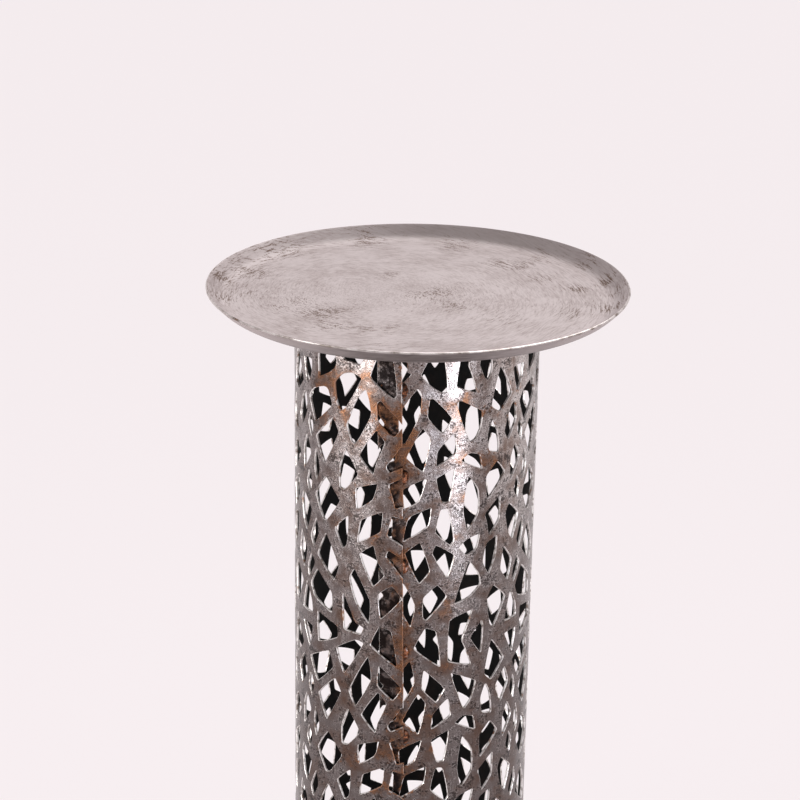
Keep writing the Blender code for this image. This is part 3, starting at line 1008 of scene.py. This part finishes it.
# Heated places on the flat sheet: along it, down it and reach in millimetres, and strength.
COLUMN_HEAT = (
    (-65, 34, 7, 0.7), (-56, 33, 7, 1.0), (-47, 27, 6, 1.0), (-50, 38, 6, 1.0),
    (-58, 54, 7, 0.9), (-42, 49, 6, 1.0), (-28, 24, 4, 1.1), (-25, 34, 4, 1.3),
    (-24, 41, 4, 1.1), (-16, 42, 5, 1.2), (-19, 53, 6, 1.1), (-9, 44, 4, 1.2),
    (-8, 66, 5, 1.2), (-5, 76, 5, 1.1), (-3, 57, 5, 1.0), (29, 36, 5, 1.1),
    (25, 45, 5, 0.8), (18, 39, 4, 0.8), (39, 44, 5, 1.0), (49, 48, 6, 0.7),
    (65, 40, 6, 0.6), (41, 73, 6, 1.1), (25, 71, 5, 0.7), (5, 38, 5, 0.8),
    (-8, 86, 4, 1.2), (-7, 129, 5, 1.1), (-5, 176, 6, 0.9), (-4, 193, 5, 0.9),
    (-2, 241, 5, 0.8), (18, 164, 5, 1.3), (21, 158, 3, 1.0), (20, 199, 4, 1.1),
    (13, 230, 4, 0.9), (13, 250, 4, 0.8), (26, 96, 4, 0.9), (26, 118, 3, 1.0),
    (47, 78, 5, 0.7), (54, 253, 6, 0.6), (-30, 92, 7, 0.7), (-21, 116, 6, 0.7),
    (-49, 114, 5, 0.6), (-44, 171, 6, 0.6), (-34, 172, 6, 0.7), (-39, 207, 6, 0.6),
    (-36, 262, 7, 1.0), (-15, 252, 6, 0.9), (-18, 276, 7, 0.8),
)  # fmt: skip


@dataclass
class OpenworkSheet:
    """The cut and rolled sheet, rebuilt from the outlines of its solid.

    The solid's outer skin is unrolled, its holes' corners are rounded as a cutter
    leaves them, and the sheet is filled, thickened and rolled again.
    """

    PLACE = "sheet_place"
    HEAT = "sheet_heat"
    SOOT = "sheet_soot"
    RIM = "sheet_rim"

    node: str = "openwork_column"
    heat: Spots = COLUMN_HEAT
    radius: float = 0.0699
    sheet: float = 0.0015
    lap_width: float = 0.014
    lap_gap: float = 0.0005
    facing_out: float = 0.7
    run_up: float = 0.022
    seam_offset: float = -0.008
    seam_lean: float = math.radians(1.0)
    corner_radius: float = 0.0012
    corner_share: float = 0.46
    corner_steps: int = 5
    straight_turn: float = math.radians(2.0)
    side_bow: float = 0.018
    side_step: float = 0.0025
    edge_break: float = 0.00025
    fill_step: float = 0.0032
    fill_clearance: float = 0.0016
    fill_weld_mm: float = 0.0001
    rim_reach: float = 0.0015
    ripple: float = 0.00012
    ripple_length: float = 0.024
    tolerance: float = 0.0001
    seam_heat_mm: float = 5.0
    seam_bloom: float = 0.32
    seam_bloom_mm: float = 16.0
    bloom_at_top: float = 0.3
    bloom_run_mm: float = 60.0
    flicker_mm: float = 9.0
    flicker_slice: float = 3.0
    flicker_lift: float = 0.35
    most_heat: float = 1.2
    most_soot: float = 0.96
    soot_fade: float = 0.002

    def __post_init__(self) -> None:
        """Read the column's height from its solid."""
        low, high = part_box(self.node)
        self.top = high.z
        self.length = high.z - low.z
        self.circumference = math.tau * self.radius
        self.lap_step = self.sheet + self.lap_gap
        self.inner_end = self.seam_offset - self.lap_width
        self.outer_end = self.seam_offset + self.circumference

    def lean(self, down: float) -> float:
        """Return how far the seam has moved along the sheet at a depth below the top."""
        return math.tan(self.seam_lean) * down

    def skin_radius(self, along: float, down: float) -> float:
        """Return the outer skin's radius, which steps up over the hidden end.

        Args:
            along: Distance along the sheet from the front.
            down: Depth below the top.

        Returns:
            The radius there.
        """
        lap_start = self.inner_end + self.circumference
        blend = clamped((along - self.lean(down) - lap_start) / self.run_up + 1.0)
        return self.radius + self.lap_step * blend * blend * (3.0 - 2.0 * blend)

    def unrolled(self, place: Vector) -> Vector:
        """Return where a point of the outer skin lies on the flat sheet.

        Args:
            place: A point of the rolled skin.

        Returns:
            Its distance along the sheet and its depth below the top.
        """
        along = math.atan2(place.x, -place.y) * self.radius
        down = self.top - place.z
        seam = self.seam_offset + self.lean(down)
        on_outer_turn = place.xy.length > self.radius + self.lap_step / 2.0
        before_hidden_end = along < seam - self.lap_width - self.tolerance
        if before_hidden_end or (along < seam + self.tolerance and on_outer_turn):
            along += self.circumference
        return Vector((along, down))

    def rolled(self, place: Vector) -> Vector:
        """Place a point of the flat sheet (along, down, depth) on the rolled column.

        Args:
            place: A point of the flat sheet.

        Returns:
            The same point of the column.
        """
        along, down, depth = place
        turn = along / self.radius
        dent = self.ripple * noise.noise(Vector((along, down, 0.0)) / self.ripple_length)
        reach = self.skin_radius(along, down) - depth - abs(dent)
        return Vector((reach * math.sin(turn), -reach * math.cos(turn), self.top - down))

    def is_on_border(self, place: Vector) -> bool:
        """Tell whether a corner lies on one of the sheet's four straight edges.

        Args:
            place: A corner on the flat sheet.

        Returns:
            True where it lies on one of them.
        """
        shifted = place.x - self.lean(place.y)
        off_edges = (place.y, place.y - self.length, shifted - self.inner_end, shifted - self.outer_end)
        return min(abs(gap) for gap in off_edges) < self.tolerance

    def outlines(self) -> list[list[Vector]]:
        """Return the sheet's outline, then its holes' outlines, all flat and turning the same way.

        Returns:
            A list of corners for each outline.
        """
        skin = solid_shape(self.node)
        skin.normal_update()
        facing = {face: face.normal.dot(outward(face.calc_center_median())) for face in skin.faces}
        others = [face for face in skin.faces if facing[face] < self.facing_out]
        bmesh.ops.delete(skin, geom=others, context="FACES")
        loops = []
        seen = set()
        for edge in skin.edges:
            if edge in seen or not edge.is_boundary:
                continue
            seen.add(edge)
            start, here = edge.verts
            loop = [start]
            while here is not start:
                loop.append(here)
                edge = next(other for other in here.link_edges if other.is_boundary and other not in seen)
                seen.add(edge)
                here = edge.other_vert(here)
            outline = [self.unrolled(vert.co) for vert in loop]
            loops.append(outline if area_of(outline) > 0.0 else outline[::-1])
        skin.free()
        loops.sort(key=area_of, reverse=True)
        return loops

    def softened(self, corners: list[Vector]) -> list[Vector]:
        """Round an outline's corners and divide its sides, which bow out very slightly.

        Args:
            corners: The outline's corners.

        Returns:
            The outline's new points.
        """
        points = []
        for index, corner in enumerate(corners):
            before = corners[index - 1]
            after = corners[(index + 1) % len(corners)]
            turn = (corner - before).angle(after - corner, 0.0)
            if self.is_on_border(corner) or turn < self.straight_turn:
                points.append(corner)
                continue
            radius = self.corner_radius * (RIGHT_ANGLE / turn) ** 2
            shorter = min((corner - before).length, (after - corner).length)
            reach = min(radius * math.tan(turn / 2.0), self.corner_share * shorter)
            start = corner + (before - corner).normalized() * reach
            end = corner + (after - corner).normalized() * reach
            for step in range(self.corner_steps + 1):
                share = step / self.corner_steps
                points.append(start.lerp(corner, share).lerp(corner.lerp(end, share), share))
        divided = []
        for here, after in zip(points, points[1:] + points[:1]):
            side = after - here
            parts = max(1, math.ceil(side.length / self.side_step))
            straight = self.is_on_border(here) and self.is_on_border(after)
            bow = Vector((side.y, -side.x)) * (0.0 if straight else 4.0 * self.side_bow)
            for part in range(parts):
                share = part / parts
                divided.append(here.lerp(after, share) + bow * share * (1.0 - share))
        return divided

    def edge_tree(self, outlines: list[list[Vector]]) -> KDTree:
        """Return a tree of all the outlines' points, for distances to the nearest edge.

        Args:
            outlines: All the outlines of the flat sheet.

        Returns:
            The balanced tree.
        """
        edge_points = [point for outline in outlines for point in outline]
        tree = KDTree(len(edge_points))
        for index, point in enumerate(edge_points):
            tree.insert(point.to_3d(), index)
        tree.balance()
        return tree

    def fill_points(self, edges: KDTree) -> list[Vector]:
        """Return staggered points between the holes, clear of every outline.

        Args:
            edges: The outlines' points.

        Returns:
            The new points.
        """
        across = math.ceil((self.outer_end + self.lean(self.length) - self.inner_end) / self.fill_step)
        rows = math.ceil(self.length / self.fill_step)
        points = []
        for row in range(rows + 1):
            stagger = 0.5 * (row % 2)
            for column in range(across + 1):
                place = Vector((self.inner_end + (column + stagger) * self.fill_step, row * self.fill_step))
                if edges.find(place.to_3d())[2] > self.fill_clearance:
                    points.append(place)
        return points

    def flat_skin(self, outlines: list[list[Vector]], edges: KDTree) -> BMesh:
        """Fill the sheet's outline, which comes first, round its holes; X runs along it and Y down.

        Args:
            outlines: The outlines of the flat sheet.
            edges: Their points.

        Returns:
            The sheet's outer skin, flat.
        """
        points = []
        loops = []
        for outline in outlines:
            loops.append(list(range(len(points), len(points) + len(outline))))
            points.extend(point / MM for point in outline)
        points.extend(point / MM for point in self.fill_points(edges))
        places, _, triangles, _, _, owners = delaunay_2d_cdt(points, [], loops, 0, self.fill_weld_mm)
        skin = bmesh.new()
        verts = [skin.verts.new((place.x * MM, place.y * MM, 0.0)) for place in places]
        for triangle, inside_of in zip(triangles, owners):
            is_metal = list(inside_of) == [0]
            if is_metal:
                skin.faces.new([verts[index] for index in triangle])
        bmesh.ops.delete(skin, geom=[vert for vert in skin.verts if not vert.link_faces], context="VERTS")
        return skin

    def thicken(self, skin: BMesh) -> None:
        """Make the flat skin a closed sheet, with a broken edge round every hole.

        Args:
            skin: The flat outer skin.
        """
        aside = skin.verts.layers.float_vector.new("aside")
        rim = [edge for edge in skin.edges if edge.is_boundary]
        for edge in rim:
            first, second = edge.verts
            run = (second.co - first.co).normalized()
            away = (first.co + second.co) / 2.0 - edge.link_faces[0].calc_center_median()
            away = (away - run * away.dot(run)).normalized()
            for vert in edge.verts:
                vert[aside] += away
        for vert in {vert for edge in rim for vert in edge.verts}:
            spread = Vector(vert[aside])
            vert[aside] = spread * (2.0 / max(spread.length_squared, 1.0)) * self.edge_break
            vert.co -= Vector(vert[aside])
        twin = bmesh.ops.duplicate(skin, geom=[*skin.verts, *skin.edges, *skin.faces])["geom"]
        back_faces = of_kind(twin, bmesh.types.BMFace)
        bmesh.ops.reverse_faces(skin, faces=back_faces)
        for face in back_faces:
            face.material_index = 2
        for vert in of_kind(twin, bmesh.types.BMVert):
            vert.co.z = self.sheet
        steps = ((1.0, self.edge_break, 1), (0.0, self.sheet - self.edge_break, 1), (-1.0, self.sheet, 2))
        for aside_share, depth, material in steps:
            made = bmesh.ops.extrude_edge_only(skin, edges=rim)["geom"]
            for vert in of_kind(made, bmesh.types.BMVert):
                vert.co += Vector(vert[aside]) * aside_share
                vert.co.z = depth
            for face in of_kind(made, bmesh.types.BMFace):
                face.material_index = material
            rim = [edge for edge in of_kind(made, bmesh.types.BMEdge) if edge.is_boundary]
        bmesh.ops.remove_doubles(skin, verts=skin.verts, dist=WELD)

    def heat_at(self, place: Vector) -> float:
        """Return how heated a place of the flat sheet is, in its spots and along the seam.

        Args:
            place: A point of the flat sheet.

        Returns:
            A share, over 1 in the hottest places.
        """
        along = place.x / MM
        if place.x > self.circumference / 2.0:
            along -= self.circumference / MM
        down = place.y / MM
        off_seam = along - (self.seam_offset + self.lean(place.y)) / MM
        bloom = self.seam_bloom * min(1.0, self.bloom_at_top + down / self.bloom_run_mm)
        flicker = noise.noise(Vector((0.0, down / self.flicker_mm, self.flicker_slice))) + self.flicker_lift
        total = spots_at(self.heat, along, down)
        total += bloom * fade(off_seam, self.seam_bloom_mm)
        total += max(0.0, flicker) * fade(off_seam, self.seam_heat_mm)
        return min(self.most_heat, total)

    def soot_at(self, place: Vector) -> float:
        """Return how sooty a place is: all but black on the end that lies under the lap."""
        seam = self.seam_offset + self.lean(place.y)
        return self.most_soot * clamped((seam - place.x) / self.soot_fade)

    def build(self, outside: Material, edge: Material, inside: Material) -> bpy.types.Object:
        """Make the sheet in its solid's place, and give its two skins and its edges their finishes.

        Args:
            outside: Finish of the skin that faces out.
            edge: Finish of the cut edges.
            inside: Finish of the skin inside the column.

        Returns:
            The finished column.
        """
        outlines = [self.softened(outline) for outline in self.outlines()]
        edges = self.edge_tree(outlines)
        sheet = self.flat_skin(outlines, edges)
        self.thicken(sheet)

        def rim_at(place: Vector) -> float:
            """Return how near a place is to a cut edge."""
            return clamped(1.0 - edges.find((place.x, place.y, 0.0))[2] / self.rim_reach)

        mark(sheet, {self.HEAT: self.heat_at, self.SOOT: self.soot_at, self.RIM: rim_at})
        flat_place = sheet.verts.layers.float_vector.new(self.PLACE)
        for vert in sheet.verts:
            vert[flat_place] = vert.co
            vert.co = self.rolled(vert.co)
        bmesh.ops.recalc_face_normals(sheet, faces=sheet.faces)
        piece = add_piece("openwork_sheet", sheet, [outside, edge, inside])
        install(piece, Slot.SILVER_PATINA, self.node)
        return piece


# Brazing


@dataclass
class Brazing:
    """The brazed beads, uneven as they froze, and the drops that flew off them."""

    lump_height: float = 0.0005
    lump_size: float = 0.0024
    growth: float = 1.06
    cuts: int = 3
    drops_per_bead: int = 5
    drop_radius: float = 0.0005
    drop_sizes: tuple[float, float] = (0.5, 1.3)
    drop_flatness: float = 0.6
    drop_spread: float = 0.009
    aim_from: float = 0.1
    aim_reach: float = 0.04
    least_facing: float = 0.9
    seed: int = 5

    def build(self, nodes: list[str], sheet: bpy.types.Object, metal: Material) -> None:
        """Make a bead for each of the solids, and drops of metal on the finished column.

        Args:
            nodes: Names of the beads' solids.
            sheet: The finished column.
            metal: Finish of the beads and drops.
        """
        for node in nodes:
            self.grow(node, metal)
        self.spatter(nodes, sheet, metal)

    def grow(self, node: str, metal: Material) -> None:
        """Make one bead from its solid: finer, swollen and uneven.

        Args:
            node: Name of the bead's solid.
            metal: Its finish.
        """
        shape = solid_shape(node)
        bmesh.ops.subdivide_edges(shape, edges=shape.edges, cuts=self.cuts, use_grid_fill=True)
        all_ways = {"use_axis_x": True, "use_axis_y": True, "use_axis_z": True}
        bmesh.ops.smooth_vert(shape, verts=shape.verts, factor=0.5, **all_ways)
        shape.normal_update()
        low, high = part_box(node)
        centre = (low + high) / 2.0
        for vert in shape.verts:
            lump = noise.noise(vert.co / self.lump_size)
            vert.co = centre + (vert.co - centre) * self.growth + vert.normal * lump * self.lump_height
        install(add_piece(f"{node}_bead", shape, [metal]), Slot.BRAZE, node)

    def spatter(self, nodes: list[str], sheet: bpy.types.Object, metal: Material) -> None:
        """Scatter small drops on the sheet round the beads.

        Args:
            nodes: Names of the beads' solids.
            sheet: The finished column.
            metal: Finish of the drops.
        """
        chance = random.Random(self.seed)
        skin = BVHTree.FromObject(sheet, bpy.context.evaluated_depsgraph_get())
        shape = bmesh.new()
        for node in nodes:
            low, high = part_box(node)
            centre = (low + high) / 2.0
            heading = math.atan2(centre.x, -centre.y)
            for _ in range(self.drops_per_bead):
                out = toward(heading + chance.gauss(0.0, self.drop_spread) / centre.xy.length)
                level = centre.z + chance.gauss(0.0, self.drop_spread)
                size = self.drop_radius * chance.uniform(*self.drop_sizes)
                start = Vector((0.0, 0.0, level)) + out * self.aim_from
                hit, normal, _, _ = skin.ray_cast(start, -out, self.aim_reach)
                if hit is None or normal.dot(out) < self.least_facing:
                    continue
                pointed = out.to_track_quat("Z", "Y").to_matrix().to_4x4()
                flat = Matrix.Diagonal((size, size, size * self.drop_flatness, 1.0))
                matrix = Matrix.Translation(hit) @ pointed @ flat
                bmesh.ops.create_icosphere(shape, subdivisions=2, radius=1.0, matrix=matrix)
        install(add_piece("braze_spatter", shape, [metal]), Slot.BRAZE)


# Floor pads


@dataclass
class FloorPad:
    """A moulded rubber pad under the foot, with a rounded edge and a shallow dimple."""

    node: str
    edge_radius: float = 0.0012
    edge_steps: int = 5
    around: int = 48
    dimple: float = 0.0004
    dimple_shares: tuple[float, float] = (0.55, 0.65)

    def build(self, rubber: Material) -> None:
        """Turn the pad and put it in its solid's place.

        Args:
            rubber: The pad's finish.
        """
        low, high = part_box(self.node)
        radius = (high.x - low.x) / 2.0
        dimple_top, dimple_edge = (share * radius for share in self.dimple_shares)
        section = [(0.0, low.z + self.dimple), (dimple_top, low.z + self.dimple), (dimple_edge, low.z)]
        for step in range(self.edge_steps + 1):
            turn = RIGHT_ANGLE * step / self.edge_steps
            reach = radius - self.edge_radius * (1.0 - math.sin(turn))
            section.append((reach, low.z + self.edge_radius * (1.0 - math.cos(turn))))
        section += [(radius, high.z), (0.0, high.z)]
        shape = turned(section, (low + high) / 2.0, self.around)
        install(add_piece(f"{self.node}_rubber", shape, [rubber]), Slot.RUBBER, self.node)


# Camera, floor and light


@dataclass(frozen=True)
class PhotoCamera:
    """The camera, fitted to the dish's rim and the column's sides in the photograph."""

    aside: float = 0.0012
    behind: float = 1.26681
    height: float = 0.85392
    pitch: float = math.radians(20.5328)
    roll: float = math.radians(0.8328)
    yaw: float = math.radians(-0.4732)
    focal_pixels: float = 2350.9
    photo_pixels: float = 800.0
    sensor_mm: float = 36.0

    def build(self) -> None:
        """Make the camera and look through it."""
        data = bpy.data.cameras.new("photo_camera")
        data.sensor_width = self.sensor_mm
        data.lens = self.focal_pixels / self.photo_pixels * self.sensor_mm
        data.clip_start = 0.01
        data.clip_end = 60.0
        level = math.cos(self.pitch)
        forward = Vector((math.sin(self.yaw) * level, math.cos(self.yaw) * level, -math.sin(self.pitch)))
        level_right = Vector((math.cos(self.yaw), -math.sin(self.yaw), 0.0))
        level_up = level_right.cross(forward)
        right = level_right * math.cos(self.roll) + level_up * math.sin(self.roll)
        up = level_up * math.cos(self.roll) - level_right * math.sin(self.roll)
        pointed = Matrix((right, up, -forward)).transposed().to_4x4()
        place = Matrix.Translation((self.aside, -self.behind, self.height))
        bpy.context.scene.camera = put_in_scene("photo_camera", data, place @ pointed)


@dataclass(frozen=True)
class SoftBox:
    """A rectangular lamp that looks at a point of the stand."""

    name: str
    heading_deg: float
    distance: float
    height: float
    width: float
    tall: float
    watts: float
    aim_height: float = 0.3
    colour: str = "#ffffff"
    spread_deg: float = 180.0

    def build(self) -> None:
        """Hang the lamp, unseen by the camera."""
        data = bpy.data.lights.new(self.name, "AREA")
        data.shape = "RECTANGLE"
        data.size = self.width
        data.size_y = self.tall
        data.energy = self.watts
        data.color = linear(self.colour)[:3]
        data.spread = math.radians(self.spread_deg)
        place = toward(math.radians(self.heading_deg)) * self.distance + Vector((0.0, 0.0, self.height))
        aim = Vector((0.0, 0.0, self.aim_height)) - place
        pointed = aim.to_track_quat("-Z", "Y").to_matrix().to_4x4()
        lamp = put_in_scene(self.name, data, Matrix.Translation(place) @ pointed)
        lamp.visible_camera = False


@dataclass
class Studio:
    """Pale floor, pale surroundings that are brighter near the horizon, and soft lamps."""

    sky_colour: str = "#f6eef0"
    brightness: Band = Band(0.0, 1.0, 0.78, 0.30)
    floor_radius: float = 14.0
    sun_strength: float = 1.75
    sun_spread: float = math.radians(50.0)
    sun_heading: float = math.radians(148.0)
    sun_climb: float = math.radians(58.0)
    lamps: tuple[SoftBox, ...] = (
        SoftBox("low_left_panel", -55.0, 0.95, 0.24, 0.60, 0.24, 1.55, spread_deg=90.0),
        SoftBox("low_right_panel", 38.0, 0.70, 0.18, 0.17, 0.16, 0.33, colour="#eef5ff", spread_deg=90.0),
        SoftBox("low_front_panel", 18.0, 0.70, 0.20, 0.24, 0.12, 0.08, colour="#e6f0ff", spread_deg=90.0),
        SoftBox("low_side_panel", 105.0, 0.75, 0.16, 1.0, 0.30, 0.36, spread_deg=120.0),
        SoftBox("overhead_left", -80.0, 0.66, 1.4, 0.60, 0.30, 2.2, 0.4),
        SoftBox("overhead_right", 68.0, 0.62, 1.4, 0.50, 0.30, 1.8, 0.4),
        SoftBox("overhead_front", 0.0, 0.40, 1.5, 0.50, 0.12, 0.1, 0.4),
    )

    def build(self) -> None:
        """Make the floor, the surroundings and the lamps."""
        bpy.context.scene.view_settings.view_transform = "Standard"
        shape = bmesh.new()
        bmesh.ops.create_circle(shape, cap_ends=True, segments=96, radius=self.floor_radius)
        add_piece("floor", shape, [PalePaper().build()])
        bpy.context.scene.world = self.surroundings()
        data = bpy.data.lights.new("soft_key", "SUN")
        data.energy = self.sun_strength
        data.angle = self.sun_spread
        shining = -toward(self.sun_heading, self.sun_climb)
        put_in_scene("soft_key", data, shining.to_track_quat("-Z", "Y").to_matrix().to_4x4())
        for lamp in self.lamps:
            lamp.build()

    def surroundings(self) -> bpy.types.World:
        """Return a world that lights softly and shows plain pale behind everything.

        Returns:
            The world.
        """
        world = bpy.data.worlds.new("studio")
        add = emptied(world)
        way = add(COORDINATES, output="Generated")
        climb = add(VECTOR_MATH, {0: way, 1: (0.0, 0.0, 1.0)}, output="Value", operation="DOT_PRODUCT")
        colour = linear(self.sky_colour)
        lit, shown = (
            add("ShaderNodeBackground", {"Color": colour, "Strength": strength})
            for strength in (add(RANGE, self.brightness.of(climb)), 1.0)
        )
        ray = add("ShaderNodeLightPath", output="Is Camera Ray")
        mixed = add("ShaderNodeMixShader", {0: ray, 1: lit, 2: shown})
        add("ShaderNodeOutputWorld", {"Surface": mixed})
        return world


def main() -> None:
    """Build the stand's looks piece by piece."""
    logging.basicConfig(level=logging.INFO, format="%(message)s")
    for item in list(bpy.data.objects):
        bpy.data.objects.remove(item, do_unlink=True)
    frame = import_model()
    PhotoCamera().build()
    Studio().build()

    paints = [finish().build() for finish in (SatinSilverPaint, GreyPaintWithPaintedLight, RolledRim)]
    DishShape("candle_dish", DISH_WEAR).build(*paints)
    DishShape("foot_dish", FOOT_WEAR, turned_over=True).build(*paints)
    metals = [finish().build() for finish in (AntiqueSilverPatina, BrightCutEdge, BlackenedSteel)]
    sheet = OpenworkSheet().build(*metals)

    names = sorted(frame["nodes"])
    Brazing().build([name for name in names if "_tack_" in name], sheet, CopperBraze().build())
    rubber = BlackRubber().build()
    for name in names:
        if name.startswith("floor_pad"):
            FloorPad(name).build(rubber)


if __name__ == "__main__":
    main()
